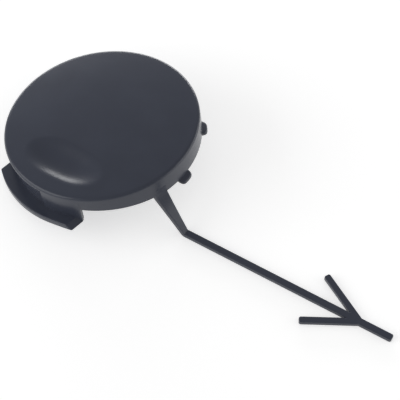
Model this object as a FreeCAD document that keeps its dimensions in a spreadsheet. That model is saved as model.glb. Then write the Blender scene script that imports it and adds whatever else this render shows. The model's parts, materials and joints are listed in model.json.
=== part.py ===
import FreeCAD, Part
import math
import os
import re
import Sketcher

# Tow hook cover: one moulded piece, a domed round cap with a hook ledge, snap clips and a folded strap.
# The cap's own frame has its origin in the middle of the rim, Z out of the face and X along the strap.

doc = FreeCAD.newDocument("tow_hook_cover")
sheet = doc.addObject("Spreadsheet::Sheet", "sizes")

# Driving sizes in millimetres, or in degrees where the name ends in _deg
DRIVING = {
    # face and skirt
    "disc_radius": 38.0,
    "dome_rise": 2.6,
    "face_wall": 2.5,
    "skirt_wall": 1.6,
    "skirt_depth": 9.3,
    "skirt_draft": 0.3,
    "rim_round": 1.4,
    # the skirt's lower edge rises towards the ledge from this distance before the middle
    "relief_start": 2.0,
    "relief_slope_deg": 5.2,
    # hook ledge, centred on the line that its turn gives, with a recess for the bumper's edge
    "ledge_turn_deg": -16.9,
    "ledge_overhang": 3.8,
    "ledge_depth": 13.6,
    "ledge_width": 42.6,
    "ledge_thickness": 2.6,
    "recess_inset": 1.6,
    "recess_roof": 2.6,
    "step_offset": 6.6,
    "end_slant": 0.9,
    "wall_bury": 1.0,
    # snap clips, two each side of the line through the ledge
    "clip_low_deg": 78.5,
    "clip_high_deg": 40.4,
    "clip_width": 6.2,
    "clip_inset": 0.8,
    "clip_catch": 1.8,
    "clip_tip_inset": 0.8,
    "clip_nose_drop": 1.2,
    "clip_nose_land": 1.3,
    # press mark on the face
    "dimple_inset": 14.8,
    "dimple_turn_deg": -96.2,
    "dimple_length": 33.6,
    "dimple_breadth": 16.0,
    "dimple_depth": 1.8,
    "dimple_bowl": 5.0,
    "dimple_lean_deg": 9.0,
    "dimple_round": 2.0,
    # strap: a first run down from the skirt, a fold and a flat run with an arrow end
    "strap_offset": 15.4,
    "strap_thickness": 1.9,
    "root_width": 5.4,
    "root_overlap": 0.4,
    "root_inset": 0.1,
    "strap_reach": 8.0,
    "first_run_deg": 66.7,
    "run_slope_deg": 12.5,
    "run_width": 2.8,
    "run_length": 75.3,
    "stub_length": 13.6,
    "barb_length": 22.8,
    "barb_deg": 29.5,
    "barb_width": 2.6,
    "end_chamfer": 0.5,
    "fold_round": 1.4,
}

# Sizes that follow from the driving ones
DERIVED = {
    "skirt_foot_radius": "disc_radius - skirt_draft",
    "skirt_foot_inner": "skirt_foot_radius - skirt_wall",
    "ledge_radius": "disc_radius + ledge_overhang",
    "recess_radius": "disc_radius - recess_inset",
    "half_ledge": "ledge_width / 2",
    "half_ledge_root": "half_ledge + end_slant",
    "ledge_reach": "sqrt(ledge_radius^2 - half_ledge^2)",
    # the strap's flat run is the ground: the ledge's far corner and the clips reach down to it
    "ledge_corner": "ledge_reach * sin(ledge_turn_deg) - half_ledge * cos(ledge_turn_deg)",
    "ground_depth": "ledge_depth - ledge_corner * tan(run_slope_deg)",
    "clip_inner_radius": "skirt_foot_inner - clip_inset",
    "clip_nose_radius": "skirt_foot_radius + clip_catch",
    "clip_tip_radius": "skirt_foot_radius - clip_tip_inset",
    "clip_nose_depth": "skirt_depth + clip_nose_drop",
    "far_clip_deg": "90 + clip_low_deg + ledge_turn_deg",
    "clip_depth": "ground_depth + clip_tip_radius * cos(far_clip_deg) * tan(run_slope_deg)",
    "clip_thickness": "clip_nose_radius - clip_inner_radius",
    # the ellipsoid that presses the dimple is larger than the mark it leaves
    "dimple_place": "disc_radius - dimple_inset",
    "dimple_lift": "dimple_bowl - dimple_depth",
    "dimple_share": "sqrt(1 - (dimple_lift / dimple_bowl)^2)",
    "dimple_face": "dome_rise * (1 - (dimple_place / disc_radius)^2)",
    # fold of the strap, cut on the half angle between its two runs
    "root_place": "sqrt(skirt_foot_radius^2 - strap_offset^2)",
    "root_turn_deg": "asin(strap_offset / skirt_foot_radius)",
    "half_fold_deg": "(first_run_deg - run_slope_deg) / 2",
    "mitre_deg": "90 - (first_run_deg + run_slope_deg) / 2",
    "mitre_length": "strap_thickness / cos(half_fold_deg)",
    "fold_place": "root_place + strap_reach - mitre_length * cos(mitre_deg)",
    "fold_depth": "ground_depth + fold_place * tan(run_slope_deg)",
    "end_place": "run_length + stub_length",
}

for row, (alias, size) in enumerate(DRIVING.items(), start=1):
    sheet.set("A%d" % row, alias)
    sheet.set("B%d" % row, str(size))
    sheet.setAlias("B%d" % row, alias)
for row, (alias, formula) in enumerate(DERIVED.items(), start=len(DRIVING) + 1):
    sheet.set("A%d" % row, alias)
    sheet.set("B%d" % row, "=" + formula)
    sheet.setAlias("B%d" % row, alias)
doc.recompute()

body = doc.addObject("PartDesign::Body", "tow_hook_cover")
body.Label = "tow_hook_cover"

UP = FreeCAD.Vector(0, 0, 1)
ALONG_Y = FreeCAD.Vector(0, 1, 0)
SOME_TURN = 10.0
NEAR = 0.01
# the points of an edge and the axes of a sketch, as its constraints number them
START, END, CENTRE = range(1, 4)
HORIZONTAL_AXIS, VERTICAL_AXIS = range(-1, -3, -1)
ORIGIN = (HORIZONTAL_AXIS, START)
SHEET_NAMES = {alias: "sizes." + alias for alias in [*DRIVING, *DERIVED]}


# Small helpers

def sized(expression):
    """The expression with every size's name pointing at the sheet."""
    return re.sub("[a-z_]+", lambda word: SHEET_NAMES.get(word.group(), word.group()), expression)


def bind(thing, place, expression):
    """Drive one property of a feature from the sheet."""
    thing.setExpression(place, sized(expression))


def number(expression):
    """The value that an expression has at the present sizes."""
    return float(body.evalExpression(sized(expression)))


def origin_plane(role):
    """One of the body's own three planes."""
    return next(item for item in body.Origin.OriginFeatures if item.Role == role)


def attach(feature, role, base=(), axis=None, turn=None):
    """Put a feature on an origin plane, moved and turned by sizes from the sheet."""
    feature.AttachmentSupport = (origin_plane(role), "")
    feature.MapMode = "FlatFace"
    if axis is not None:
        rotation = FreeCAD.Rotation(axis, SOME_TURN)
        feature.AttachmentOffset = FreeCAD.Placement(FreeCAD.Vector(), rotation)
        bind(feature, "AttachmentOffset.Rotation.Angle", turn)
    for direction, expression in zip("xyz", base):
        bind(feature, "AttachmentOffset.Base." + direction, expression)


def new_sketch(name, role, **where):
    sketch = body.newObject("Sketcher::SketchObject", name)
    attach(sketch, role, **where)
    return sketch


def pin(sketch, edge, end, across, up):
    """Hold one end of an edge at two sizes from the sketch's origin."""
    for kind, expression in (("DistanceX", across), ("DistanceY", up)):
        index = sketch.addConstraint(Sketcher.Constraint(kind, *ORIGIN, edge, end, number(expression)))
        bind(sketch, "Constraints[%d]" % index, expression)


def close(sketch, count):
    """Join each edge's end to the start of the next."""
    for edge in range(count):
        sketch.addConstraint(Sketcher.Constraint("Coincident", edge, END, (edge + 1) % count, START))


def point(corner):
    return FreeCAD.Vector(number(corner[0]), number(corner[1]), 0)


def arc_about(centre, radius, start, end):
    """The shorter arc from start to end, drawn the way round that arcs run."""
    first = math.atan2(start.y - centre.y, start.x - centre.x)
    last = math.atan2(end.y - centre.y, end.x - centre.x)
    return Part.ArcOfCircle(Part.Circle(centre, UP, radius), first, last)


def polygon(sketch, corners):
    """A closed outline of straight edges, each corner a pair of expressions."""
    for index, corner in enumerate(corners):
        after = corners[(index + 1) % len(corners)]
        sketch.addGeometry(Part.LineSegment(point(corner), point(after)))
    close(sketch, len(corners))
    for index, corner in enumerate(corners):
        pin(sketch, index, START, *corner)


def ring_outline(sketch, corners):
    """A closed outline of arcs about the disc's middle and straight edges between them.

    Each corner is the distance from the ledge's centre line and the radius that it lies on,
    and two corners on one radius have an arc between them.
    """
    places = [(side, "-sqrt((%s)^2 - (%s)^2)" % (radius, side)) for side, radius in corners]
    ends = []
    for index, (side, radius) in enumerate(corners):
        after = (index + 1) % len(corners)
        start, end = point(places[index]), point(places[after])
        if radius != corners[after][1]:
            edge = sketch.addGeometry(Part.LineSegment(start, end))
            ends.append((edge, START, END))
            continue
        forward = end.x > start.x
        pair = (start, end) if forward else (end, start)
        edge = sketch.addGeometry(arc_about(FreeCAD.Vector(), number(radius), *pair))
        ends.append((edge, START, END) if forward else (edge, END, START))
        size = sketch.addConstraint(Sketcher.Constraint("Radius", edge, number(radius)))
        bind(sketch, "Constraints[%d]" % size, radius)
    for index, (edge, first, last) in enumerate(ends):
        following = ends[(index + 1) % len(ends)]
        sketch.addConstraint(Sketcher.Constraint("Coincident", edge, last, following[0], following[1]))
        pin(sketch, edge, first, *places[index])


def extrude(kind, name, sketch, length, both_sides=False):
    """A pad or pocket of one sketch."""
    feature = body.newObject("PartDesign::" + kind, name)
    feature.Profile = sketch
    feature.SideType = "Symmetric" if both_sides else "One side"
    bind(feature, "Length", length)
    sketch.Visibility = False
    return feature


def edges_where(shape, test):
    """Names of the edges whose middle passes a test."""
    names = []
    for index, edge in enumerate(shape.Edges, start=1):
        middle = edge.valueAt((edge.FirstParameter + edge.LastParameter) / 2)
        if test(edge, middle):
            names.append("Edge%d" % index)
    return names


def round_edges(name, base, radius, test):
    """A fillet on the edges that pass a test."""
    doc.recompute()
    names = edges_where(base.Shape, test)
    feature = body.newObject("PartDesign::Fillet", name)
    feature.Base = (base, names)
    bind(feature, "Radius", radius)
    doc.recompute()
    return feature


# Domed face and skirt, turned from one half section
section = new_sketch("section", "XZ_Plane")
FACE_MIDDLE = ("0", "dome_rise")
RIM_CORNER = ("disc_radius", "0")
FOOT_OUTSIDE = ("skirt_foot_radius", "-skirt_depth")
FOOT_INSIDE = ("skirt_foot_inner", "-skirt_depth")
CEILING_EDGE = ("disc_radius - skirt_wall", "-face_wall")
CEILING_MIDDLE = ("0", "dome_rise - face_wall")


def dome(edge_corner, middle_corner):
    """An arc from the edge up to the axis, centred on the axis."""
    outer, middle = point(edge_corner), point(middle_corner)
    rise = middle.y - outer.y
    radius = (outer.x ** 2 + rise ** 2) / (2 * rise)
    edge = section.addGeometry(arc_about(FreeCAD.Vector(0, middle.y - radius, 0), radius, outer, middle))
    section.addConstraint(Sketcher.Constraint("PointOnObject", edge, CENTRE, VERTICAL_AXIS))
    return edge


def straight(start, end):
    return section.addGeometry(Part.LineSegment(point(start), point(end)))


outer_dome = dome(RIM_CORNER, FACE_MIDDLE)
skirt_side = straight(RIM_CORNER, FOOT_OUTSIDE)
skirt_foot = straight(FOOT_OUTSIDE, FOOT_INSIDE)
skirt_inside = straight(FOOT_INSIDE, CEILING_EDGE)
inner_dome = dome(CEILING_EDGE, CEILING_MIDDLE)
middle_line = straight(CEILING_MIDDLE, FACE_MIDDLE)
JOINS = [
    (outer_dome, START, skirt_side, START),
    (skirt_side, END, skirt_foot, START),
    (skirt_foot, END, skirt_inside, START),
    (skirt_inside, END, inner_dome, START),
    (inner_dome, END, middle_line, START),
    (middle_line, END, outer_dome, END),
]
for join in JOINS:
    section.addConstraint(Sketcher.Constraint("Coincident", *join))
pin(section, skirt_side, START, *RIM_CORNER)
pin(section, skirt_foot, START, *FOOT_OUTSIDE)
pin(section, skirt_inside, START, *FOOT_INSIDE)
pin(section, inner_dome, START, *CEILING_EDGE)
pin(section, middle_line, START, *CEILING_MIDDLE)
pin(section, middle_line, END, *FACE_MIDDLE)
shell = body.newObject("PartDesign::Revolution", "shell")
shell.Profile = section
shell.ReferenceAxis = (section, ["V_Axis"])
shell.Angle = 360
section.Visibility = False

# Rounded rim

def on_rim(edge, middle):
    """Whether an edge is the corner between face and skirt."""
    return abs(middle.z) < NEAR and abs(math.hypot(middle.x, middle.y) - number("disc_radius")) < NEAR


rim = round_edges("rim", shell, "rim_round", on_rim)

# Press mark: an ellipsoid sunk into the face, leaning so that its outer wall is the steep one
dimple = body.newObject("PartDesign::SubtractiveEllipsoid", "dimple")
bind(dimple, "Radius1", "dimple_bowl")
bind(dimple, "Radius2", "dimple_breadth / 2 / dimple_share")
bind(dimple, "Radius3", "dimple_length / 2 / dimple_share")
attach(dimple, "XY_Plane", base=(
    "dimple_place * cos(dimple_turn_deg)",
    "dimple_place * sin(dimple_turn_deg)",
    "dimple_face + dimple_lift",
))
spin = FreeCAD.Rotation(UP, number("dimple_turn_deg"))
lean = FreeCAD.Rotation(ALONG_Y, number("dimple_lean_deg"))
dimple.AttachmentOffset = FreeCAD.Placement(dimple.AttachmentOffset.Base, spin.multiply(lean))


def on_dimple_edge(edge, middle):
    """Whether an edge is on the face well inside the rim."""
    return 0 < math.hypot(middle.x, middle.y) < number("disc_radius - 2 * rim_round") and middle.z > 0 \
        and edge.Length > number("dimple_breadth")


round_edges("dimple_edge", dimple, "dimple_round", on_dimple_edge)

# The skirt's lower edge rises towards the ledge
relief_sketch = new_sketch("relief_outline", "YZ_Plane", axis=ALONG_Y, turn="ledge_turn_deg")
polygon(relief_sketch, [
    ("-relief_start", "-skirt_depth"),
    ("-ledge_radius", "-skirt_depth + (ledge_radius - relief_start) * tan(relief_slope_deg)"),
    ("-ledge_radius", "-skirt_depth - ledge_thickness"),
    ("-relief_start", "-skirt_depth - ledge_thickness"),
])
extrude("Pocket", "relief", relief_sketch, "4 * disc_radius", both_sides=True)

# Recess over the ledge, where the bumper's edge goes in
ON_LEDGE = {"axis": UP, "turn": "ledge_turn_deg"}
recess_sketch = new_sketch("recess_outline", "XY_Plane", base=("0", "0", "-recess_roof"), **ON_LEDGE)
ring_outline(recess_sketch, [
    ("-half_ledge", "ledge_radius"),
    ("step_offset", "ledge_radius"),
    ("step_offset", "recess_radius"),
    ("-half_ledge", "recess_radius"),
])
extrude("Pocket", "recess", recess_sketch, "ledge_depth")

# Wall behind the recess, with returns to the skirt at the far end and at the step
LEDGE_FLOOR = ("0", "0", "-ledge_depth")
INNER_RECESS = "recess_radius - skirt_wall"
wall_sketch = new_sketch("ledge_wall_outline", "XY_Plane", base=LEDGE_FLOOR, **ON_LEDGE)
ring_outline(wall_sketch, [
    ("-half_ledge", "skirt_foot_radius"),
    ("-half_ledge + skirt_wall", "skirt_foot_radius"),
    ("-half_ledge + skirt_wall", "recess_radius"),
    ("step_offset", "recess_radius"),
    ("step_offset", "skirt_foot_radius"),
    ("half_ledge_root", "skirt_foot_radius"),
    ("half_ledge_root", "skirt_foot_inner"),
    ("step_offset + skirt_wall", "skirt_foot_inner"),
    ("step_offset + skirt_wall", INNER_RECESS),
    ("-half_ledge", INNER_RECESS),
])
extrude("Pad", "ledge_wall", wall_sketch, "ledge_depth - wall_bury")

# The ledge itself, an outward flange along the foot of that wall
flange_sketch = new_sketch("ledge_outline", "XY_Plane", base=LEDGE_FLOOR, **ON_LEDGE)
ring_outline(flange_sketch, [
    ("-half_ledge", "ledge_radius"),
    ("half_ledge", "ledge_radius"),
    ("half_ledge_root", "skirt_foot_inner"),
    ("step_offset + skirt_wall", "skirt_foot_inner"),
    ("step_offset + skirt_wall", INNER_RECESS),
    ("-half_ledge", INNER_RECESS),
])
extrude("Pad", "ledge", flange_sketch, "ledge_thickness")


# Snap clips: round-ended tongues under the skirt, cut to a nose that slopes both ways

def tongue_outline(sketch):
    """A tongue with a half-round end, drawn across the clip."""
    half, foot = "clip_width / 2", "-clip_depth + clip_width / 2"
    left, right = "-" + half, half
    top = "-skirt_depth"
    sketch.addGeometry(Part.LineSegment(point((right, foot)), point((right, top))))
    sketch.addGeometry(Part.LineSegment(point((right, top)), point((left, top))))
    sketch.addGeometry(Part.LineSegment(point((left, top)), point((left, foot))))
    centre = point(("0", foot))
    round_end = Part.Circle(centre, UP, number(half))
    tip = sketch.addGeometry(Part.ArcOfCircle(round_end, math.pi, 2 * math.pi))
    close(sketch, tip + 1)
    for edge, corner in enumerate(((right, foot), (right, top), (left, top), (left, foot))):
        pin(sketch, edge, START, *corner)
    level = sketch.addConstraint(Sketcher.Constraint("DistanceY", *ORIGIN, tip, CENTRE, number(foot)))
    bind(sketch, "Constraints[%d]" % level, foot)


def clip(name, turn):
    """One clip at an angle round the skirt; returns its two features."""
    across = new_sketch(name + "_tongue", "YZ_Plane", axis=ALONG_Y, turn=turn, base=(
        "clip_inner_radius * sin(%s)" % turn, "0", "clip_inner_radius * cos(%s)" % turn))
    tongue_outline(across)
    tongue = extrude("Pad", name, across, "clip_thickness")
    beside = new_sketch(name + "_slopes", "XZ_Plane", axis=ALONG_Y, turn=turn)
    clear = "clip_nose_radius + clip_thickness"
    polygon(beside, [
        ("skirt_foot_radius", "-skirt_depth"),
        ("clip_nose_radius", "-clip_nose_depth"),
        ("clip_nose_radius", "-clip_nose_depth - clip_nose_land"),
        ("clip_tip_radius", "-clip_depth"),
        ("clip_tip_radius", "-clip_depth - clip_thickness"),
        (clear, "-clip_depth - clip_thickness"),
        (clear, "-skirt_depth"),
    ])
    slopes = extrude("Pocket", name + "_nose", beside, "2 * clip_width", both_sides=True)
    return [tongue, slopes]


clips = clip("clip_low", "90 - clip_low_deg + ledge_turn_deg")
clips += clip("clip_high", "90 - clip_high_deg + ledge_turn_deg")
mirrored = body.newObject("PartDesign::Mirrored", "clips_mirrored")
mirrored.Originals = clips
mirrored.MirrorPlane = (wall_sketch, ["V_Axis"])
body.Tip = mirrored

# First run of the strap: a loft from the skew foot of the skirt to the square fold
root_sketch = new_sketch("strap_root", "XY_Plane", axis=UP, turn="-root_turn_deg",
                         base=("0", "0", "root_overlap - skirt_depth"))
ROOT_OUTSIDE = "skirt_foot_radius - root_inset"
ROOT_INSIDE = ROOT_OUTSIDE + " - strap_thickness"
polygon(root_sketch, [
    (ROOT_INSIDE, "-root_width / 2"),
    (ROOT_OUTSIDE, "-root_width / 2"),
    (ROOT_OUTSIDE, "root_width / 2"),
    (ROOT_INSIDE, "root_width / 2"),
])
FOLD = ("fold_place", "-strap_offset", "-fold_depth")
fold_sketch = new_sketch("strap_fold", "XY_Plane", base=FOLD, axis=ALONG_Y, turn="-mitre_deg")
polygon(fold_sketch, [
    ("0", "-run_width / 2"),
    ("mitre_length", "-run_width / 2"),
    ("mitre_length", "run_width / 2"),
    ("0", "run_width / 2"),
])
first_run = body.newObject("PartDesign::AdditiveLoft", "strap_first_run")
first_run.Profile = root_sketch
first_run.Sections = [fold_sketch]
first_run.Ruled = True
root_sketch.Visibility = False
fold_sketch.Visibility = False

# Flat run with its stub, on the ground plane
ON_GROUND = {"base": FOLD, "axis": ALONG_Y, "turn": "run_slope_deg"}
run_sketch = new_sketch("strap_run_outline", "XY_Plane", **ON_GROUND)
polygon(run_sketch, [
    ("0", "-run_width / 2"),
    ("end_place - end_chamfer", "-run_width / 2"),
    ("end_place", "-run_width / 2 + end_chamfer"),
    ("end_place", "run_width / 2 - end_chamfer"),
    ("end_place - end_chamfer", "run_width / 2"),
    ("0", "run_width / 2"),
])
extrude("Pad", "strap_run", run_sketch, "strap_thickness")


# Arrow end: one barb drawn back from the run's end, and its mirror image

def on_barb(back, side):
    """A corner of the barb, so far back along it and so far to its outer side."""
    return (
        "run_length - (%s) * cos(barb_deg) + (%s) * sin(barb_deg)" % (back, side),
        "(%s) * sin(barb_deg) + (%s) * cos(barb_deg)" % (back, side),
    )


HALF_BARB = "barb_width / 2"
barb_sketch = new_sketch("barb_outline", "XY_Plane", **ON_GROUND)
polygon(barb_sketch, [
    on_barb("0", "-" + HALF_BARB),
    on_barb("0", HALF_BARB),
    on_barb("barb_length - end_chamfer", HALF_BARB),
    on_barb("barb_length", HALF_BARB + " - end_chamfer"),
    on_barb("barb_length", "end_chamfer - " + HALF_BARB),
    on_barb("barb_length - end_chamfer", "-" + HALF_BARB),
])
barb = extrude("Pad", "barb", barb_sketch, "strap_thickness")
barb_pair = body.newObject("PartDesign::Mirrored", "barb_pair")
barb_pair.Originals = [barb]
barb_pair.MirrorPlane = (run_sketch, ["H_Axis"])
body.Tip = barb_pair


def on_fold(edge, middle):
    """Whether an edge is the outer corner of the fold."""
    return abs(middle.x - number("fold_place")) < NEAR and abs(middle.z + number("fold_depth")) < NEAR


fold = round_edges("fold", barb_pair, "fold_round", on_fold)
body.Tip = fold
doc.recompute()

# The cap lies on its strap: tilted by the run's slope, lowest point on the ground, middle over the origin
body.Placement = FreeCAD.Placement(FreeCAD.Vector(), FreeCAD.Rotation(ALONG_Y, -number("run_slope_deg")))
doc.recompute()
box = body.Shape.optimalBoundingBox(False, False)
body.Placement.Base = FreeCAD.Vector(-box.Center.x, -box.Center.y, -box.ZMin)
doc.recompute()

# Write the piece only when every feature is sound
for feature in doc.Objects:
    if "Invalid" in feature.State or "Error" in feature.State:
        raise SystemExit("feature not sound: " + feature.Name)
if body.Shape.isNull() or not body.Shape.isValid() or len(body.Shape.Solids) != 1:
    raise SystemExit("the cover is not one valid solid")
os.makedirs("parts", exist_ok=True)
body.Shape.exportStep("parts/tow_hook_cover.step")
print("volume", round(body.Shape.Volume, 1), "rim centre", body.Placement.Base)
print("box", body.Shape.optimalBoundingBox(False, False))
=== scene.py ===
# %% [markdown]
# # A tow hook cover, from section to studio
# The cover is one moulding: a domed round cap with a thumb's press mark, a hook ledge, four snap clips and
# a folded strap with an arrow end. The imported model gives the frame, so every piece below is made in the
# same place and at the same size, and only gains what a camera sees: soft edges, true curves and a finish.

# %% Load the frame
import json
import math

import bmesh
import bpy
from mathutils import Matrix, Vector


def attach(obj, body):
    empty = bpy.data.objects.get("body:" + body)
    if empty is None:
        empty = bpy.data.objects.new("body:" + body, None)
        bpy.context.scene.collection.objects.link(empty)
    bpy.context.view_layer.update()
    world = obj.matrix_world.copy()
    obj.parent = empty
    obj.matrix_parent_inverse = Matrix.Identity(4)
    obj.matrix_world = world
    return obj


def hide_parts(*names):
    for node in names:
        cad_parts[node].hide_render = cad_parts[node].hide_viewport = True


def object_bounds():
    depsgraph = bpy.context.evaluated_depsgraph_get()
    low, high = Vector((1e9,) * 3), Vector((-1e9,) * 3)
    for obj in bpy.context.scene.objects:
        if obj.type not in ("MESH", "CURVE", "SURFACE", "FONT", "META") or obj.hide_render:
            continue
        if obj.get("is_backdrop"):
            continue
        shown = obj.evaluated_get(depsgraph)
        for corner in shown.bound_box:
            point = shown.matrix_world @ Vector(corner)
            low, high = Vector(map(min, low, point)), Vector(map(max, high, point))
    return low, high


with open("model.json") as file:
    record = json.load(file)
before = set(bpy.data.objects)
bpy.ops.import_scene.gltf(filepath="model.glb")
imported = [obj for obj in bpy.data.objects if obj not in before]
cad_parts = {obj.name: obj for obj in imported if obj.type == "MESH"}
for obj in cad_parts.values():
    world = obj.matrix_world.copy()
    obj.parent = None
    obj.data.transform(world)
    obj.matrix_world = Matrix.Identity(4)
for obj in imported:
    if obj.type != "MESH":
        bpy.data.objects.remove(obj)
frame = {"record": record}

MM = 0.001
cad_low, cad_high = (Vector(place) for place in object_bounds())
print("CAD box in mm:", [round(side / MM, 2) for side in cad_high - cad_low])

# %% [markdown]
# ## Two frames
# The cover lies on its strap, so the cap leans. It is easiest to draw it upright, in a frame of its own with
# the origin in the middle of the rim, Z out of the face and X along the strap, in millimetres. One matrix
# then carries the finished mesh to its place. The record's mounts say where the rim and the strap's end are.

# %% The cap's own frame
RUN_SLOPE = math.radians(12.5)
mounts = {mount["name"]: Vector(mount["pos_m"]) for mount in frame["record"]["mounts"]}
rim_middle = mounts["bumper_opening"]
cap_to_row = Matrix.Translation(rim_middle) @ Matrix.Rotation(-RUN_SLOPE, 4, "Y") @ Matrix.Scale(MM, 4)
row_to_cap = cap_to_row.inverted()
print("rim middle in mm:", [round(value / MM, 2) for value in rim_middle])

# %% [markdown]
# ## Node trees written as sums
# Both geometry and shader trees need arithmetic. Wrapping a socket in a small class lets Python's own
# operators add the Math nodes, so that a rule reads as it would on paper.

# %% A wire that can be used in arithmetic


class Wire:
    """An output socket of a node tree that adds, multiplies and compares like a number."""

    def __init__(self, socket):
        self.socket = socket
        self.tree = socket.id_data

    @staticmethod
    def make(tree, kind, settings=None, sockets=None, out=0):
        """Add a node, set it up, fill or link its sockets and return one of its outputs."""
        node = tree.nodes.new(kind)
        for name, value in (settings or {}).items():
            setattr(node, name, value)
        for name, value in (sockets or {}).items():
            if isinstance(value, Wire):
                tree.links.new(value.socket, node.inputs[name])
            else:
                node.inputs[name].default_value = value
        return Wire(node.outputs[out])

    def other(self, name):
        """Another output of the same node."""
        return Wire(self.socket.node.outputs[name])

    def math(self, operation, first, second):
        """A Math node on two wires or numbers."""
        return Wire.make(self.tree, "ShaderNodeMath", {"operation": operation}, {0: first, 1: second})

    def __add__(self, value):
        return self.math("ADD", self, value)

    __radd__ = __add__

    def __sub__(self, value):
        return self.math("SUBTRACT", self, value)

    def __rsub__(self, value):
        return self.math("SUBTRACT", value, self)

    def __mul__(self, value):
        return self.math("MULTIPLY", self, value)

    __rmul__ = __mul__

    def __truediv__(self, value):
        return self.math("DIVIDE", self, value)

    def __rtruediv__(self, value):
        return self.math("DIVIDE", value, self)

    def __pow__(self, value):
        return self.math("POWER", self, value)

    def __rpow__(self, value):
        return self.math("POWER", value, self)

    def __lt__(self, value):
        return self.math("LESS_THAN", self, value)

    def __gt__(self, value):
        return self.math("GREATER_THAN", self, value)

    def at_least(self, value):
        """The larger of this wire and another value."""
        return self.math("MAXIMUM", self, value)

    def ramp(self, low, high, kind="SMOOTHSTEP"):
        """Zero up to one value, one from another, and a curve or a line between them."""
        return Wire.make(self.tree, "ShaderNodeMapRange", {"interpolation_type": kind},
                         {"Value": self, "From Min": low, "From Max": high})


# %% [markdown]
# ## Geometry trees with named sizes
# A tree's sizes are inputs of its own, so a reader can change one on the modifier. One class makes the
# group, its inputs and the closing nodes. It sets the inputs by identifier, because two inputs may share a
# name, and it keeps the result as a plain mesh, because an export leaves instances and modifiers behind.

# %% A geometry tree that grows a mesh


def bake(thing):
    """Replace an object's mesh by its evaluated one and drop its modifiers."""
    bpy.context.view_layer.update()
    shaped = thing.evaluated_get(bpy.context.evaluated_depsgraph_get())
    mesh = bpy.data.meshes.new_from_object(shaped)
    thing.modifiers.clear()
    thing.data = mesh
    return thing


class Grower:
    """A geometry tree with named inputs; its rules are written between its making and its finish."""

    SOCKETS = {float: "NodeSocketFloat", bpy.types.Object: "NodeSocketObject"}

    def __init__(self, name, **sizes):
        self.tree = bpy.data.node_groups.new(name, "GeometryNodeTree")
        self.sizes = sizes
        face = self.tree.interface
        face.new_socket("Geometry", in_out="INPUT", socket_type="NodeSocketGeometry")
        face.new_socket("Geometry", in_out="OUTPUT", socket_type="NodeSocketGeometry")
        self.inputs = {
            key: face.new_socket(key.replace("_", " "), in_out="INPUT", socket_type=self.SOCKETS[type(size)])
            for key, size in sizes.items()
        }
        self.source = Wire(self.tree.nodes.new("NodeGroupInput").outputs["Geometry"])

    def size(self, key):
        """The wire of one named input."""
        return self.source.other(key.replace("_", " "))

    def node(self, kind, settings=None, sockets=None, out=0):
        """Add a node to this tree."""
        return Wire.make(self.tree, kind, settings, sockets, out)

    def shape_of(self, key):
        """The mesh of an object that is one of the inputs."""
        return self.node("GeometryNodeObjectInfo", sockets={"Object": self.size(key)}, out="Geometry")

    def stored(self, name):
        """A number that is stored on each point."""
        return self.node("GeometryNodeInputNamedAttribute", {"data_type": "FLOAT"}, {"Name": name})

    def finish(self, geometry, material):
        """Close the tree: real geometry, with its material."""
        real = self.node("GeometryNodeRealizeInstances", sockets={"Geometry": geometry})
        painted = self.node("GeometryNodeSetMaterial", sockets={"Geometry": real, "Material": material})
        out = self.tree.nodes.new("NodeGroupOutput")
        self.tree.links.new(painted.socket, out.inputs["Geometry"])

    def grow(self, seed):
        """Run the tree on an object and keep the result as that object's plain mesh."""
        modifier = seed.modifiers.new(self.tree.name, "NODES")
        modifier.node_group = self.tree
        for key, size in self.sizes.items():
            modifier[self.inputs[key].identifier] = size
        return bake(seed)


# %% Objects for the trees to work on
MERGE_GAP = 0.0005


def seed_object(name, points, edges=(), faces=()):
    """An object of plain points, edges and faces in the scene."""
    mesh = bpy.data.meshes.new(name)
    mesh.from_pydata([tuple(point) for point in points], edges, faces)
    thing = bpy.data.objects.new(name, mesh)
    bpy.context.scene.collection.objects.link(thing)
    return thing


def line_object(name, points, closed=False):
    """A chain of points, to be used as a curve inside a tree."""
    edges = [(index, index + 1) for index in range(len(points) - 1)]
    if closed:
        edges.append((len(points) - 1, 0))
    return seed_object(name, points, edges)


def point_values(thing, name, values):
    """Store one number for each point of an object."""
    attribute = thing.data.attributes.new(name, "FLOAT", "POINT")
    attribute.data.foreach_set("value", values)


def solid_normals(thing):
    """Merge doubles and turn every face outwards."""
    work = bmesh.new()
    work.from_mesh(thing.data)
    bmesh.ops.remove_doubles(work, verts=work.verts, dist=MERGE_GAP)
    bmesh.ops.recalc_face_normals(work, faces=work.faces)
    loose = sum(not edge.is_manifold for edge in work.edges)
    volume = round(work.calc_volume(), 1)
    print(thing.name, "faces", len(work.faces), "open edges", loose, "volume mm3", volume)
    work.to_mesh(thing.data)
    work.free()
    return thing


# The primer's nodes are added further down; the pieces only need the material itself now.
primer = bpy.data.materials.new("primed_plastic_satin")

# %% [markdown]
# ## The cap: one section, turned
# Face, rim and skirt are a body of revolution, so one half section swept round a circle makes them. A Screw
# modifier would do that too, but it spaces its steps evenly. Here a pair of steps has to sit at each end of
# the recess and of the ledge: between the two steps of a pair the skirt's depth may jump, and the upright
# end faces come out clean. So the circle is a line of chosen points, and a geometry tree does the sweep.

# %% Sizes of the cap, in millimetres
DISC_RADIUS = 38.0
DOME_RISE = 2.6
FACE_WALL = 2.5
SKIRT_WALL = 1.6
SKIRT_DEPTH = 9.3
SKIRT_DRAFT = 0.3
RIM_ROUND = 1.4
FOOT_ROUND = 0.35
CEILING_ROUND = 0.8
foot_radius = DISC_RADIUS - SKIRT_DRAFT
foot_inner = foot_radius - SKIRT_WALL
ceiling_edge = DISC_RADIUS - SKIRT_WALL
print("radius of the skirt's foot:", foot_radius, "outside and", round(foot_inner, 2), "inside")

# %% The half section, with the corners that get a round
FACE_RINGS = 64
CEILING_RINGS = 20
# A dome's rings stop this many radii of the edge's round before the edge.
ROUND_ROOM = 1.6


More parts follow.
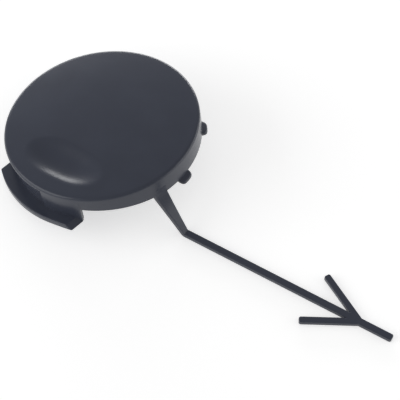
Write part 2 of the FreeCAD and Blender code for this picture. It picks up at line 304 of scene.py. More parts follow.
def dome_rings(edge, base, edge_round, count):
    """Points from the middle of a dome to just before the round of its edge."""
    reach = edge - ROUND_ROOM * edge_round
    radii = [reach * step / count for step in range(count + 1)]
    return [(radius, base + DOME_RISE * (1 - (radius / edge) ** 2)) for radius in radii]


section = [(point, 0.0) for point in dome_rings(DISC_RADIUS, 0.0, RIM_ROUND, FACE_RINGS)]
section.append(((DISC_RADIUS, 0.0), RIM_ROUND))
section.append(((foot_radius, -SKIRT_DEPTH), FOOT_ROUND))
section.append(((foot_inner, -SKIRT_DEPTH), FOOT_ROUND))
section.append(((ceiling_edge, -FACE_WALL), CEILING_ROUND))
ceiling = dome_rings(ceiling_edge, -FACE_WALL, CEILING_ROUND, CEILING_RINGS)
section += [(point, 0.0) for point in reversed(ceiling)]
print("section points:", len(section))

# %% Where the ledge and the recess end on the skirt
LEDGE_TURN = math.radians(-16.9)
LEDGE_WIDTH = 42.6
STEP_OFFSET = 6.6
half_ledge = LEDGE_WIDTH / 2


def ledge_angle(side):
    """Angle on the skirt of a place beside the ledge's centre line."""
    return LEDGE_TURN - math.pi / 2 + math.asin(side / foot_radius)


recess_end, step_end, ledge_end = (ledge_angle(side) for side in (-half_ledge, STEP_OFFSET, half_ledge))
print("ends in degrees:", [round(math.degrees(turn), 1) for turn in (recess_end, step_end, ledge_end)])

# %% The circle's points, close together beside each end
CIRCLE_RADIUS = 1.0
COLUMN_STEP = math.radians(1.3)
# Half the angle between the two steps of a pair, in radians.
PAIR_GAP = 0.0006


def on_circle(turn):
    """A point of the circle that the section is swept round."""
    return CIRCLE_RADIUS * math.cos(turn), CIRCLE_RADIUS * math.sin(turn), 0.0


jumps = [recess_end, step_end, ledge_end, recess_end + 2 * math.pi]
columns = []
for start, end in zip(jumps, jumps[1:]):
    count = math.ceil((end - start) / COLUMN_STEP)
    first, last = start + PAIR_GAP, end - PAIR_GAP
    columns += [first + (last - first) * step / count for step in range(count + 1)]
circle = line_object("circle", [on_circle(turn) for turn in columns], closed=True)
print("columns round the cap:", len(columns))

# %% [markdown]
# The tree below sweeps the section round the circle and then moves its points by two rules. The skirt's
# foot rises towards the ledge, is short over the recess and runs down to the ledge beside it. The thumb's
# press mark is a shallow bowl in the face with a soft edge, skewed so that its wall towards the rim is the
# steep one. That wall mirrors low light, which is why the mark shows as a bright crescent.

# %% Inputs of the cap's tree
LEDGE_DEPTH = 13.6
RECESS_ROOF = 2.6
RELIEF_START = 2.0
RELIEF_SLOPE_DEG = 5.2
SKIRT_BURY = 0.8
DIMPLE_INSET = 14.8
DIMPLE_LENGTH = 35.6
DIMPLE_BREADTH = 17.0
DIMPLE_DEPTH = 2.3

cap_rule = Grower(
    "turned_cap",
    Circle=circle,
    Skirt_depth=SKIRT_DEPTH,
    Face_wall=FACE_WALL,
    Relief_start=RELIEF_START,
    Relief_slope=math.tan(math.radians(RELIEF_SLOPE_DEG)),
    Recess_roof=RECESS_ROOF,
    Ledge_reach=LEDGE_DEPTH - SKIRT_BURY,
    Dimple_place=DISC_RADIUS - DIMPLE_INSET,
    Dimple_length=DIMPLE_LENGTH,
    Dimple_breadth=DIMPLE_BREADTH,
    Dimple_depth=DIMPLE_DEPTH,
)
print("inputs of the cap's tree:", len(cap_rule.inputs))

# %% The sweep
ROUND_STEPS = 6
SMALL = 0.0001


def rounded_line(rule, line, radius_name, steps):
    """A mesh line as a curve, with each corner rounded to the radius stored on it."""
    curve = rule.node("GeometryNodeMeshToCurve", sockets={"Mesh": line})
    return rule.node("GeometryNodeFilletCurve", {"mode": "POLY"}, {
        "Curve": curve, "Count": steps, "Radius": rule.stored(radius_name), "Limit Radius": True})


def swept_section(rule):
    """The section with its corners rounded, swept round the circle."""
    profile = rounded_line(rule, rule.source, "round", ROUND_STEPS)
    ring = rule.node("GeometryNodeMeshToCurve", sockets={"Mesh": rule.shape_of("Circle")})
    outwards = rule.node("GeometryNodeInputPosition")
    ring = rule.node("GeometryNodeSetCurveNormal", {"mode": "FREE"}, {"Curve": ring, "Normal": outwards})
    swept = rule.node("GeometryNodeCurveToMesh", sockets={"Curve": ring, "Profile Curve": profile})
    return rule.node("GeometryNodeMergeByDistance", sockets={"Geometry": swept, "Distance": SMALL})


# %% The skirt's depth


def turned_place(rule, turn):
    """A point's coordinates along and across a line at an angle in the face's plane, and its height."""
    place = rule.node("GeometryNodeInputPosition")
    parts = rule.node("ShaderNodeSeparateXYZ", sockets={"Vector": place})
    x, y, height = parts, parts.other("Y"), parts.other("Z")
    along = x * math.cos(turn) + y * math.sin(turn)
    across = y * math.cos(turn) - x * math.sin(turn)
    return along, across, height


def lifted(rule, geometry, selection, lift):
    """Move the selected points up or down."""
    offset = rule.node("ShaderNodeCombineXYZ", sockets={"Z": lift})
    return rule.node("GeometryNodeSetPosition", sockets={
        "Geometry": geometry, "Selection": selection, "Offset": offset})


def skirt_rule(rule, geometry):
    """Set the depth of the skirt by its place round the cap."""
    side, up, height = turned_place(rule, LEDGE_TURN)
    towards = 0 - up
    radius = (side * side + up * up + SMALL) ** 0.5
    share = side / radius
    on_ledge_side = towards > 0.0
    past_recess = share > -half_ledge / foot_radius
    past_step = share > STEP_OFFSET / foot_radius
    before_end = share < half_ledge / foot_radius
    over_recess = on_ledge_side * past_recess * (1 - past_step)
    over_ledge = on_ledge_side * past_step * before_end
    relief = (towards - rule.size("Relief_start")).at_least(0.0) * rule.size("Relief_slope")
    depth = (rule.size("Skirt_depth") - relief) * (1 - over_recess - over_ledge)
    depth = depth + rule.size("Recess_roof") * over_recess + rule.size("Ledge_reach") * over_ledge
    below = 0 - height - rule.size("Face_wall")
    stretch = (depth - rule.size("Face_wall")) / (rule.size("Skirt_depth") - rule.size("Face_wall"))
    return lifted(rule, geometry, below > 0.0, below * (1 - stretch))


# %% The press mark
DIMPLE_TURN = math.radians(-96.4)
DIMPLE_SKEW = 0.25
# The power softens the bowl's lip, and the bluntness fills out its two ends.
DIMPLE_POWER = 1.5
DIMPLE_BLUNTNESS = 1.25
# The points over this height are the face's.
FACE_LOW = 0.4


def dimple_rule(rule, geometry):
    """Press the thumb's mark into the face."""
    outwards, along, height = turned_place(rule, DIMPLE_TURN)
    along = along / (rule.size("Dimple_length") * 0.5)
    outwards = (outwards - rule.size("Dimple_place")) / (rule.size("Dimple_breadth") * 0.5)
    bowl = (1 - (along * along) ** DIMPLE_BLUNTNESS - outwards * outwards).at_least(0.0) ** DIMPLE_POWER
    depth = rule.size("Dimple_depth") * bowl * (1 + outwards * DIMPLE_SKEW)
    return lifted(rule, geometry, height > FACE_LOW, 0 - depth)


# %% Grow the cap
pressed = dimple_rule(cap_rule, skirt_rule(cap_rule, swept_section(cap_rule)))
cap_rule.finish(pressed, primer)
cap = line_object("cap", [(radius - CIRCLE_RADIUS, -height, 0.0) for (radius, height), _ in section])
point_values(cap, "round", [size for _, size in section])
solid_normals(cap_rule.grow(cap))
bpy.data.objects.remove(circle)

# %% [markdown]
# ## The ledge and the wall behind the recess
# The bumper's edge slides into the recess and rests on the ledge. Both stand on one floor plan, drawn from
# arcs about the middle of the cap and short straight ends, so the plan is raised to two heights: the shelf
# stays low and the wall climbs into the face. The shelf's near end runs out a little wider and slopes back
# as it rises. A bevel on the outer corners then gives the soft edges of a moulding.

# %% Points of the plan
LEDGE_OVERHANG = 3.8
RECESS_INSET = 1.6
END_FLARE = 0.9
ARC_STEP = math.radians(2.0)
PLAN_DIGITS = 4
ledge_radius = DISC_RADIUS + LEDGE_OVERHANG
recess_radius = DISC_RADIUS - RECESS_INSET
front_side = ledge_radius * math.sin(-LEDGE_TURN)
print("the ledge's edge points straight to the front", round(front_side, 2), "mm beside its centre line")


def corner(side, radius):
    """A point of the plan by its distance from the ledge's centre line and its radius."""
    return round(side, PLAN_DIGITS), -round(math.sqrt(radius ** 2 - side ** 2), PLAN_DIGITS)


def arc(first, last, radius):
    """Points on one radius from one side to another."""
    start, end = math.asin(first / radius), math.asin(last / radius)
    count = math.ceil(abs(end - start) / ARC_STEP)
    turns = [start + (end - start) * step / count for step in range(count + 1)]
    return [corner(radius * math.sin(turn), radius) for turn in turns]


def flared(side):
    """A point of the shelf's free edge, which runs out wider from the front to its near end."""
    share = max(0.0, side - front_side) / (half_ledge - front_side)
    return corner(side, ledge_radius + END_FLARE * share ** 2)


def free_edge(set_back):
    """The shelf's free edge from its far end round to the skirt, with its near end set back."""

    def moved(side):
        return side - set_back * (side + half_ledge) / LEDGE_WIDTH

    outer = [flared(moved(side)) for side, _ in arc(-half_ledge, half_ledge, ledge_radius)]
    near_inside = half_ledge * foot_inner / foot_radius
    return outer + [corner(moved(half_ledge), foot_radius), corner(moved(near_inside), foot_inner)]


# %% Plans of the wall and of the shelf
END_SLOPE = 2.0
RETURN_BURY = 0.5
far_inside = SKIRT_WALL - half_ledge
step_inside = STEP_OFFSET + SKIRT_WALL
return_radius = foot_radius - RETURN_BURY
step_return = [corner(STEP_OFFSET, return_radius), corner(step_inside, return_radius)]
step_corner = corner(step_inside, foot_inner)
far_return = [corner(-half_ledge, foot_radius), corner(far_inside, foot_radius)]
recess_back = arc(far_inside, STEP_OFFSET, recess_radius)
wall_inside = arc(step_inside, -half_ledge, recess_radius - SKIRT_WALL)
edge_at_foot = free_edge(0.0)
edge_on_top = dict(zip(edge_at_foot, free_edge(END_SLOPE)))
wall_plan = far_return + recess_back + step_return + [step_corner] + wall_inside
shelf_plan = edge_at_foot + [step_corner] + step_return[::-1] + recess_back[::-1] + far_return[::-1]
print("points of the wall's plan:", len(wall_plan), "and of the shelf's:", len(shelf_plan))

# %% Raise the plans
LEDGE_THICKNESS = 2.6
WALL_TOP = -1.0
shelf_foot = -LEDGE_DEPTH
shelf_top = LEDGE_THICKNESS - LEDGE_DEPTH


def sides_of(plan):
    """The sides of a closed plan, as pairs of its points."""
    return list(zip(plan, plan[1:] + plan[:1]))


def unordered_sides(plan):
    """The sides of a plan, whichever way they are walked."""
    return {frozenset(pair) for pair in sides_of(plan)}


def raised_ledge():
    """One closed mesh of the shelf and the wall that climbs from it."""
    work = bmesh.new()
    made = {}

    def vertex(place, level):
        if (place, level) not in made:
            spot = edge_on_top.get(place, place) if level == shelf_top else place
            made[place, level] = work.verts.new((*spot, level))
        return made[place, level]

    def flat(plan, level):
        work.faces.new([vertex(place, level) for place in plan])

    def upright(first, last, low, high):
        ring = (vertex(first, low), vertex(last, low), vertex(last, high), vertex(first, high))
        work.faces.new(ring)

    for plan, top in ((wall_plan, WALL_TOP), (shelf_plan, shelf_top)):
        flat(plan, shelf_foot)
        flat(plan, top)
    shared = unordered_sides(wall_plan) & unordered_sides(shelf_plan)
    for first, last in sides_of(wall_plan):
        upright(first, last, shelf_top, WALL_TOP)
        if frozenset((first, last)) not in shared:
            upright(first, last, shelf_foot, shelf_top)
    for first, last in sides_of(shelf_plan):
        if frozenset((first, last)) not in shared:
            upright(first, last, shelf_foot, shelf_top)
    bmesh.ops.recalc_face_normals(work, faces=work.faces)
    return work


# %% Soften the ledge's corners
LEDGE_ROUND = 0.45
LEDGE_ROUND_STEPS = 4
LEDGE_SHARP = math.radians(50.0)
ROUND_PROFILE = 0.5


def soften(work, edges, width, steps):
    """Bevel some edges of a mesh to a round."""
    bmesh.ops.bevel(work, geom=edges, offset=width, segments=steps, profile=ROUND_PROFILE, affect="EDGES",
                    clamp_overlap=True)


def outer_corners(work, least_angle):
    """The edges that stick out and turn by more than an angle."""
    return [edge for edge in work.edges if edge.is_convex and edge.calc_face_angle(0.0) > least_angle]


def object_of(name, work, turn=0.0):
    """Turn a mesh in the face's plane and put it into the scene."""
    bmesh.ops.rotate(work, verts=work.verts, matrix=Matrix.Rotation(turn, 3, "Z"))
    thing = seed_object(name, [])
    work.to_mesh(thing.data)
    work.free()
    thing.data.materials.append(primer)
    return solid_normals(thing)


def below_face(edge):
    """Whether an edge lies clear of the wall's buried top."""
    return max(end.co.z for end in edge.verts) < WALL_TOP - SMALL


ledge_work = raised_ledge()
ledge_edges = [edge for edge in outer_corners(ledge_work, LEDGE_SHARP) if below_face(edge)]
soften(ledge_work, ledge_edges, LEDGE_ROUND, LEDGE_ROUND_STEPS)
ledge = object_of("ledge", ledge_work, LEDGE_TURN)

# %% [markdown]
# ## Snap clips
# Four tongues under the skirt spring over the edge of the opening. One tongue is lofted through rounded
# oblong sections: it starts inside the skirt, swells to a nose and ends in a round tip. The other three are
# the same shape at other angles, so a geometry tree sets instances of the one tongue on four turned points.

# %% Sections of one tongue
CLIP_WIDTH = 6.2
CLIP_INSET = 0.8
CLIP_CATCH = 1.8
CLIP_TIP_INSET = 0.8
CLIP_NOSE_DEPTH = 10.9
CLIP_DEPTH = 13.15
CLIP_BURY = 1.2
TIP_ROUND = 1.2
clip_inner = foot_inner - CLIP_INSET
clip_nose = foot_radius + CLIP_CATCH
clip_tip = foot_radius - CLIP_TIP_INSET
print("the clip's nose catches", round(clip_nose - foot_radius, 2), "mm past the skirt")


def quarter_round(share):
    """Half width of a round end, from one at its start to nothing at its tip."""
    return math.sqrt(max(0.0, 1 - min(1.0, max(0.0, share)) ** 2))


def clip_section(depth):
    """Half width, inner radius and outer radius of the tongue at one depth."""
    half = CLIP_WIDTH / 2
    half *= quarter_round((depth - CLIP_DEPTH + half) / half)
    inner = clip_inner + TIP_ROUND / 2 * (1 - quarter_round((depth - CLIP_DEPTH + TIP_ROUND) / TIP_ROUND))
    if depth < CLIP_NOSE_DEPTH:
        buried = max(0.0, SKIRT_DEPTH - depth) / CLIP_BURY
        rise = max(0.0, depth - SKIRT_DEPTH) / (CLIP_NOSE_DEPTH - SKIRT_DEPTH)
        return half, inner, foot_radius - CLIP_INSET * buried + CLIP_CATCH * math.sin(rise * math.pi / 2)
    fall = quarter_round((depth - CLIP_NOSE_DEPTH) / (CLIP_DEPTH - CLIP_NOSE_DEPTH))
    return half, inner, clip_tip + (clip_nose - clip_tip) * fall


# %% Loft the tongue
CLIP_LEVELS = 22
CLIP_SIDES = 32
OBLONG_POWER = 0.6
LEAST_HALF_WIDTH = 0.01


def squared(value):
    """Push a sine or cosine outwards, so that a circle becomes a rounded oblong."""
    return math.copysign(abs(value) ** OBLONG_POWER, value)


def clip_ring(depth):
    """The points of one rounded oblong section, at angle zero round the cap."""
    half, inner, outer = clip_section(depth)
    middle, reach = (inner + outer) / 2, (outer - inner) / 2
    width = max(half, LEAST_HALF_WIDTH)
    ring = []
    for side in range(CLIP_SIDES):
        turn = 2 * math.pi * side / CLIP_SIDES
        ring.append((middle + squared(math.sin(turn)) * reach, squared(math.cos(turn)) * width, -depth))
    return ring


def clip_tongue():
    """The tongue, as rings of points joined into a closed skin."""
    points, faces = [], []
    top = SKIRT_DEPTH - CLIP_BURY
    for level in range(CLIP_LEVELS + 1):
        points += clip_ring(top + (CLIP_DEPTH - top) * math.sin(level / CLIP_LEVELS * math.pi / 2))
    for level in range(CLIP_LEVELS):
        low, high = level * CLIP_SIDES, (level + 1) * CLIP_SIDES
        for side in range(CLIP_SIDES):
            after = (side + 1) % CLIP_SIDES
            faces.append((low + side, low + after, high + after, high + side))
    faces.append(tuple(range(CLIP_SIDES)))
    faces.append(tuple(range(CLIP_LEVELS * CLIP_SIDES, (CLIP_LEVELS + 1) * CLIP_SIDES)))
    return seed_object("tongue", points, faces=faces)


tongue = solid_normals(clip_tongue())

# %% Four clips on turned points
CLIP_LOW = math.radians(78.5)
CLIP_HIGH = math.radians(40.4)
clip_middle = LEDGE_TURN + math.pi / 2
clip_turns = [clip_middle + side * turn for turn in (CLIP_LOW, CLIP_HIGH) for side in (-1, 1)]

clip_rule = Grower("snap_clips", Tongue=tongue)
clip_angles = clip_rule.node("ShaderNodeCombineXYZ", sockets={"Z": clip_rule.stored("turn")})
clip_rotation = clip_rule.node("FunctionNodeEulerToRotation", sockets={"Euler": clip_angles})
clip_set = clip_rule.node("GeometryNodeInstanceOnPoints", sockets={
    "Points": clip_rule.source, "Instance": clip_rule.shape_of("Tongue"), "Rotation": clip_rotation})
clip_rule.finish(clip_set, primer)

clips = seed_object("clips", [(0.0, 0.0, 0.0)] * len(clip_turns))
point_values(clips, "turn", clip_turns)
clip_rule.grow(clips)
bpy.data.objects.remove(tongue)
print("clips:", len(clip_turns), "faces", len(clips.data.polygons))

# %% [markdown]
# ## The strap
# The strap keeps the cover from being lost. It is easiest to draw flat, as one outline from its wide root to
# the arrow end that snaps behind the bumper, and then to fold: the tree carries each point along a path that
# leaves the skirt in a soft bend, runs down and folds flat onto the ground. The path's last point comes from
# the record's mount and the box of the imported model.

# %% The strap's path, in the plane that it lies in
STRAP_OFFSET = 15.4
STRAP_THICKNESS = 1.9
ROOT_OUTSET = 0.25
ROOT_RISE = 3.5
ROOT_OVERLAP = 0.4
ROOT_BEND = 8.0
FIRST_RUN = math.radians(68.2)
FOLD_BEND = 1.1

strap_end = Vector((cad_high.x, mounts["tether_anchor"].y, mounts["tether_anchor"].z))
path_end = row_to_cap @ strap_end
root_radius = foot_radius + ROOT_OUTSET - STRAP_THICKNESS / 2
root_x = math.sqrt(root_radius ** 2 - STRAP_OFFSET ** 2)
root_z = ROOT_OVERLAP - SKIRT_DEPTH
run_rise = math.tan(RUN_SLOPE)
fall = math.tan(FIRST_RUN)
fold_x = (root_z - path_end.z + root_x * fall - path_end.x * run_rise) / (fall - run_rise)
fold_z = root_z - (fold_x - root_x) * fall
path = [
    Vector((root_x, 0, root_z + ROOT_RISE)),
    Vector((root_x, 0, root_z)),
    Vector((fold_x, 0, fold_z)),
    Vector((path_end.x, 0, path_end.z)),
]
bends = [0.0, ROOT_BEND, FOLD_BEND, 0.0]
print("fold in mm, in the cap's frame:", round(fold_x, 2), round(fold_z, 2))

# %% Lengths along the path


def bend_shares(index):
    """Straight length that a bend takes from each of its runs, and the length of its arc."""
    turn = (path[index] - path[index - 1]).angle(path[index + 1] - path[index])
    return bends[index] * math.tan(turn / 2), bends[index] * turn


runs = [(after - before).length for before, after in zip(path, path[1:])]
(root_cut, root_arc), (fold_cut, fold_arc) = bend_shares(1), bend_shares(2)
root_start = runs[0] - root_cut
root_stop = root_start + root_arc
fold_start = root_stop + runs[1] - root_cut - fold_cut
fold_stop = fold_start + fold_arc
strap_length = fold_stop + runs[2] - fold_cut
print("strap length in mm:", round(strap_length, 2))
print("fold from", round(fold_start, 2), "to", round(fold_stop, 2), "mm along it")

# %% The flat outline
ROOT_WIDTH = 4.9
RUN_WIDTH = 2.8
STUB_LENGTH = 13.6
BARB_LENGTH = 22.8
BARB_TURN = math.radians(29.5)
BARB_WIDTH = 2.6
END_CHAMFER = 0.5
half_root = ROOT_WIDTH / 2
half_run = RUN_WIDTH / 2
half_barb = BARB_WIDTH / 2
barb_root = strap_length - STUB_LENGTH
barb_shoulder = BARB_LENGTH - END_CHAMFER


def on_barb(back, side):
    """A corner of the barb, so far back along it and so far to its outer side."""
    return (barb_root - back * math.cos(BARB_TURN) + side * math.sin(BARB_TURN),
            back * math.sin(BARB_TURN) + side * math.cos(BARB_TURN))


def meets_run(side):
    """Where an edge of the barb meets the edge of the run."""
    return on_barb((half_run - side * math.cos(BARB_TURN)) / math.sin(BARB_TURN), side)


upper = [(0.0, half_root), (root_start, half_root), (fold_start, half_run), meets_run(-half_barb)]
upper += [on_barb(barb_shoulder, -half_barb), on_barb(BARB_LENGTH, END_CHAMFER - half_barb)]
upper += [on_barb(BARB_LENGTH, half_barb - END_CHAMFER), on_barb(barb_shoulder, half_barb)]
upper += [meets_run(half_barb), (strap_length - END_CHAMFER, half_run)]
upper.append((strap_length, half_run - END_CHAMFER))
strap_plan = upper + [(along, -across) for along, across in reversed(upper)]
print("corners of the strap's outline:", len(strap_plan))

# %% A plate of that outline, cut across where it will bend or twist
STRAP_ROUND = 0.3
STRAP_ROUND_STEPS = 3
STRAP_SHARP = math.radians(60.0)
BEND_CUTS = 10
bent_parts = ((root_start, root_stop), (root_stop, fold_start), (fold_start, fold_stop))
cuts = [start + (stop - start) * cut / BEND_CUTS for start, stop in bent_parts for cut in range(BEND_CUTS)]
cuts.append(fold_stop)


def flat_strap():
    """The outline as a plate with soft edges and with cuts across it."""
    work = bmesh.new()
    low = [work.verts.new((*place, -STRAP_THICKNESS / 2)) for place in strap_plan]
    high = [work.verts.new((*place, STRAP_THICKNESS / 2)) for place in strap_plan]
    work.faces.new(low)
    work.faces.new(high)
    for index in range(len(low)):
        after = (index + 1) % len(low)
        work.faces.new((low[index], low[after], high[after], high[index]))
    bmesh.ops.recalc_face_normals(work, faces=work.faces)
    soften(work, outer_corners(work, STRAP_SHARP), STRAP_ROUND, STRAP_ROUND_STEPS)
    for along in cuts:
        everything = work.verts[:] + work.edges[:] + work.faces[:]
        bmesh.ops.bisect_plane(work, geom=everything, plane_co=(along, 0, 0), plane_no=(1, 0, 0))
    return object_of("strap", work)


strap = flat_strap()

# %% Fold it along its path
path_line = line_object("path", path)
point_values(path_line, "bend", bends)
root_skew = STRAP_OFFSET / root_x

fold_rule = Grower("folded_strap", Path=path_line, Strap_offset=STRAP_OFFSET, Root_skew=root_skew)


def strap_rule(rule):
    """Carry the flat strap's points to the path, and slant its root to follow the round skirt."""
    line = rounded_line(rule, rule.shape_of("Path"), "bend", BEND_CUTS)
    along, across, over = turned_place(rule, 0.0)
    spot = rule.node("GeometryNodeSampleCurve", {"mode": "LENGTH", "use_all_curves": True},
                     {"Curves": line, "Length": along}, out="Position")
    heading = rule.node("ShaderNodeSeparateXYZ", sockets={"Vector": spot.other("Tangent")})
    place = rule.node("ShaderNodeSeparateXYZ", sockets={"Vector": spot})
    slant = across * rule.size("Root_skew") * (1 - along.ramp(root_stop, fold_start, "LINEAR"))
    folded = rule.node("ShaderNodeCombineXYZ", sockets={
        "X": place - heading.other("Z") * over + slant,
        "Y": across - rule.size("Strap_offset"),
        "Z": place.other("Z") + heading * over,
    })
    return rule.node("GeometryNodeSetPosition", sockets={"Geometry": rule.source, "Position": folded})


fold_rule.finish(strap_rule(fold_rule), primer)
solid_normals(fold_rule.grow(strap))
bpy.data.objects.remove(path_line)

# %% [markdown]
# ## One moulding
# The real cover has no seams, so the four meshes are united into a single closed skin. It is then carried to
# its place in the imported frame. Edges sharper than a soft round are marked, and weighted normals keep the
# flat areas flat beside the rounds.

# %% Unite the pieces
SLIVER = 0.004


def clean_skin(thing):
    """Take the slivers and needless points off the seams of a union and split its many-sided faces."""
    work = bmesh.new()
    work.from_mesh(thing.data)
    bmesh.ops.remove_doubles(work, verts=work.verts, dist=SLIVER)
    bmesh.ops.dissolve_degenerate(work, edges=work.edges, dist=SLIVER)
    needless = [point for point in work.verts if len(point.link_edges) == 2]
    bmesh.ops.dissolve_verts(work, verts=needless)
    many_sided = [face for face in work.faces if len(face.verts) > 4]
    bmesh.ops.triangulate(work, faces=many_sided, ngon_method="EAR_CLIP")
    work.to_mesh(thing.data)
    work.free()
    return solid_normals(thing)


cover = cap
cover.name = "tow_hook_cover_moulding"
for piece in (ledge, clips, strap):
    joint = cover.modifiers.new("with_" + piece.name, "BOOLEAN")
    joint.operation = "UNION"
    joint.solver = "MANIFOLD"
    joint.object = piece
bake(cover)
for piece in (ledge, clips, strap):
    bpy.data.objects.remove(piece)
clean_skin(cover)
cover.data.transform(cap_to_row)

# %% Shade it
SHARP_ANGLE = math.radians(38.0)


def shade_soft(thing, angle):
    """Smooth shading, with the edges over an angle kept sharp and flat areas kept flat."""
    work = bmesh.new()
    work.from_mesh(thing.data)
    for face in work.faces:
        face.smooth = True
    for edge in work.edges:
        edge.smooth = edge.calc_face_angle(0.0) < angle
    work.to_mesh(thing.data)
    work.free()
    weighted = thing.modifiers.new("flat_areas", "WEIGHTED_NORMAL")
    weighted.keep_sharp = True
    return bake(thing)


shade_soft(cover, SHARP_ANGLE)
cover.data.name = cover.name
print("triangles:", sum(len(face.vertices) - 2 for face in cover.data.polygons))

# %% [markdown]
# ## Primer on moulded plastic
# New covers come in a dark slate primer, to be painted in the car's colour. It is a satin film: a little
# uneven in tone where the spray overlaps, with the faint orange peel of a sprayed coat and a fine matt
# grain. Three noises of different sizes give these, so no picture is needed and no seam can show.

# %% The primer's nodes
SLATE_DEEP = (0.047, 0.053, 0.075, 1.0)
SLATE_PALE = (0.051, 0.058, 0.082, 1.0)
SATIN = 0.23
PRIMER_IOR = 1.42
CLOUD_MM = 14.0
PEEL_MM = 0.9
GRAIN_MM = 0.12
CLOUD_LOW, CLOUD_HIGH = 0.3, 0.7
CLOUD_TONE = 0.75
CLOUD_ROUGHNESS = 0.03
GRAIN_ROUGHNESS = 0.06
PEEL_SHARE = 0.7
BUMP_STRENGTH = 0.10
BUMP_MM = 0.05
NOISE_MIDDLE = 0.5
# A Mix node has sockets for every kind of value; these are the colour ones, and the colour output.
MIX_FACTOR, MIX_FIRST, MIX_SECOND, MIX_RESULT = 0, 6, 7, 2


def noise(tree, place, size_mm, detail):
    """Noise whose spots are about one size across."""
    return Wire.make(tree, "ShaderNodeTexNoise", sockets={
        "Vector": place, "Scale": 1.0 / (size_mm * MM), "Detail": detail}, out="Fac")


def primer_finish(material):
    """Give the primer its tone, sheen and fine relief."""
    material.use_nodes = True
    tree = material.node_tree
    tree.nodes.clear()
    place = Wire.make(tree, "ShaderNodeTexCoord", out="Object")
    clouds = noise(tree, place, CLOUD_MM, detail=3.0)
    peel = noise(tree, place, PEEL_MM, detail=1.0)
    grain = noise(tree, place, GRAIN_MM, detail=2.0)
    tone = clouds.ramp(CLOUD_LOW, CLOUD_HIGH) * CLOUD_TONE + grain * (1 - CLOUD_TONE)
    colour = Wire.make(tree, "ShaderNodeMix", {"data_type": "RGBA"},
                       {MIX_FACTOR: tone, MIX_FIRST: SLATE_DEEP, MIX_SECOND: SLATE_PALE}, out=MIX_RESULT)
    uneven = (clouds - NOISE_MIDDLE) * CLOUD_ROUGHNESS
    roughness = SATIN + uneven + (grain - NOISE_MIDDLE) * GRAIN_ROUGHNESS
    height = peel * PEEL_SHARE + grain * (1 - PEEL_SHARE)
    normal = Wire.make(tree, "ShaderNodeBump", sockets={
        "Strength": BUMP_STRENGTH, "Distance": BUMP_MM * MM, "Height": height})
    skin = Wire.make(tree, "ShaderNodeBsdfPrincipled", sockets={
        "Base Color": colour, "Roughness": roughness, "Normal": normal, "IOR": PRIMER_IOR})
    output = tree.nodes.new("ShaderNodeOutputMaterial")
    tree.links.new(skin.socket, output.inputs["Surface"])
    print(material.name, "nodes:", len(tree.nodes))


primer_finish(primer)
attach(cover, "root")
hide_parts("tow_hook_cover")

# %% [markdown]
# ## Studio
# A pale floor under soft light. The floor adds a little glow for the camera and for reflections, which lifts
# it to white and leaves the shadow, and no extra light falls on the part. Seen from below, the floor is
# clear, so that the hollow side of the cap can be looked at too.

# %% Floor
FLOOR_HALF = 3.0
FLOOR_PALE = (0.80, 0.80, 0.80, 1.0)
FLOOR_GLOW = 0.55


def floor_finish():
    """Matt and pale, with a glow that only shows to the camera, in reflections and through glass."""
    material = bpy.data.materials.new("studio_floor")
    material.use_nodes = True
    tree = material.node_tree
    tree.nodes.clear()
    seen = Wire.make(tree, "ShaderNodeLightPath", out="Is Camera Ray")
    shown = seen.at_least(seen.other("Is Glossy Ray")).at_least(seen.other("Is Transmission Ray"))
    matt = Wire.make(tree, "ShaderNodeBsdfDiffuse", sockets={"Color": FLOOR_PALE})
    glow = Wire.make(tree, "ShaderNodeEmission", sockets={"Strength": shown * FLOOR_GLOW})
    both = Wire.make(tree, "ShaderNodeAddShader", sockets={0: matt, 1: glow})
    clear = Wire.make(tree, "ShaderNodeBsdfTransparent")
    under = Wire.make(tree, "ShaderNodeNewGeometry", out="Backfacing")
    sheet = Wire.make(tree, "ShaderNodeMixShader", sockets={0: under, 1: both, 2: clear})
    output = tree.nodes.new("ShaderNodeOutputMaterial")
    tree.links.new(sheet.socket, output.inputs["Surface"])
    return material


floor_ends = ((-1, -1), (1, -1), (1, 1), (-1, 1))
floor_points = [(x * FLOOR_HALF, y * FLOOR_HALF, 0.0) for x, y in floor_ends]
floor = seed_object("studio_floor", floor_points, faces=[(0, 1, 2, 3)])
floor.data.materials.append(floor_finish())
floor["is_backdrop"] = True
print("floor in metres:", [round(side, 2) for side in floor.dimensions])

# %% World and lamps
WORLD_GREY = 0.34
WHITE = (1.0, 1.0, 1.0, 1.0)


def studio_world():
    """A grey room, white where the camera looks past the floor."""
    world = bpy.data.worlds.new("studio")
    world.use_nodes = True
    tree = world.node_tree
    tree.nodes.clear()
    seen = Wire.make(tree, "ShaderNodeLightPath", out="Is Camera Ray")
    room = Wire.make(tree, "ShaderNodeBackground", sockets={
        "Color": WHITE, "Strength": WORLD_GREY + seen * (1 - WORLD_GREY)})
    output = tree.nodes.new("ShaderNodeOutputWorld")
    tree.links.new(room.socket, output.inputs["Surface"])
    bpy.context.scene.world = world


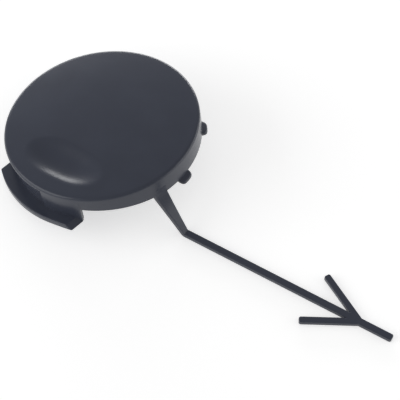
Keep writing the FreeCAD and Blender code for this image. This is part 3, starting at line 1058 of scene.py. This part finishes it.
def soft_lamp(name, place, size, watts):
    """A rectangular soft light, placed in metres and aimed at the middle of the cap's rim."""
    lamp = bpy.data.lights.new(name, "AREA")
    lamp.shape = "RECTANGLE"
    lamp.size, lamp.size_y = size
    lamp.energy = watts
    thing = bpy.data.objects.new(name, lamp)
    thing.location = place
    thing.rotation_euler = (rim_middle - Vector(place)).to_track_quat("-Z", "Y").to_euler()
    bpy.context.scene.collection.objects.link(thing)
    print("lamp", name, watts, "W")


studio_world()
soft_lamp("left", place=(-1.0, -0.9, 0.55), size=(1.6, 0.9), watts=10.0)
soft_lamp("back", place=(-0.75, 1.06, 0.15), size=(1.6, 0.28), watts=11.5)
soft_lamp("right", place=(1.15, 0.75, 0.3), size=(1.8, 0.6), watts=6.0)

# %% [markdown]
# ## Camera
# The camera stands where the photograph was taken from. Its place was fitted to the rim, the fold and the
# arrow end, so a long lens looks down at the cover from the strap's side, a little rolled.

# %% The camera
TARGET_ALONG = 44.09
TARGET_ACROSS = 1.13
CAMERA_DISTANCE = 0.78409
CAMERA_AZIMUTH = math.radians(-65.82)
CAMERA_ELEVATION = math.radians(56.69)
CAMERA_ROLL = math.radians(6.31)
CAMERA_LENS = 183.07
camera_target = Vector((rim_middle.x + TARGET_ALONG * MM, rim_middle.y + TARGET_ACROSS * MM, 0.0))


def camera_at(target, distance, azimuth, elevation, roll, lens):
    """A camera that looks at a point from a direction, rolled about its own axis."""
    data = bpy.data.cameras.new("camera")
    data.lens = lens
    thing = bpy.data.objects.new("camera", data)
    level = Vector((math.cos(azimuth), math.sin(azimuth), 0.0))
    right = Vector((-math.sin(azimuth), math.cos(azimuth), 0.0))
    back = level * math.cos(elevation) + Vector((0.0, 0.0, math.sin(elevation)))
    up = back.cross(right)
    across = right * math.cos(roll) + up * math.sin(roll)
    upwards = up * math.cos(roll) - right * math.sin(roll)
    turn = Matrix((across, upwards, back)).transposed().to_4x4()
    thing.matrix_world = Matrix.Translation(target + back * distance) @ turn
    bpy.context.scene.collection.objects.link(thing)
    bpy.context.scene.camera = thing
    return thing


camera = camera_at(camera_target, CAMERA_DISTANCE, CAMERA_AZIMUTH, CAMERA_ELEVATION, CAMERA_ROLL, CAMERA_LENS)
bpy.context.scene.view_settings.view_transform = "Standard"
print("camera at, in metres:", [round(value, 3) for value in camera.location])
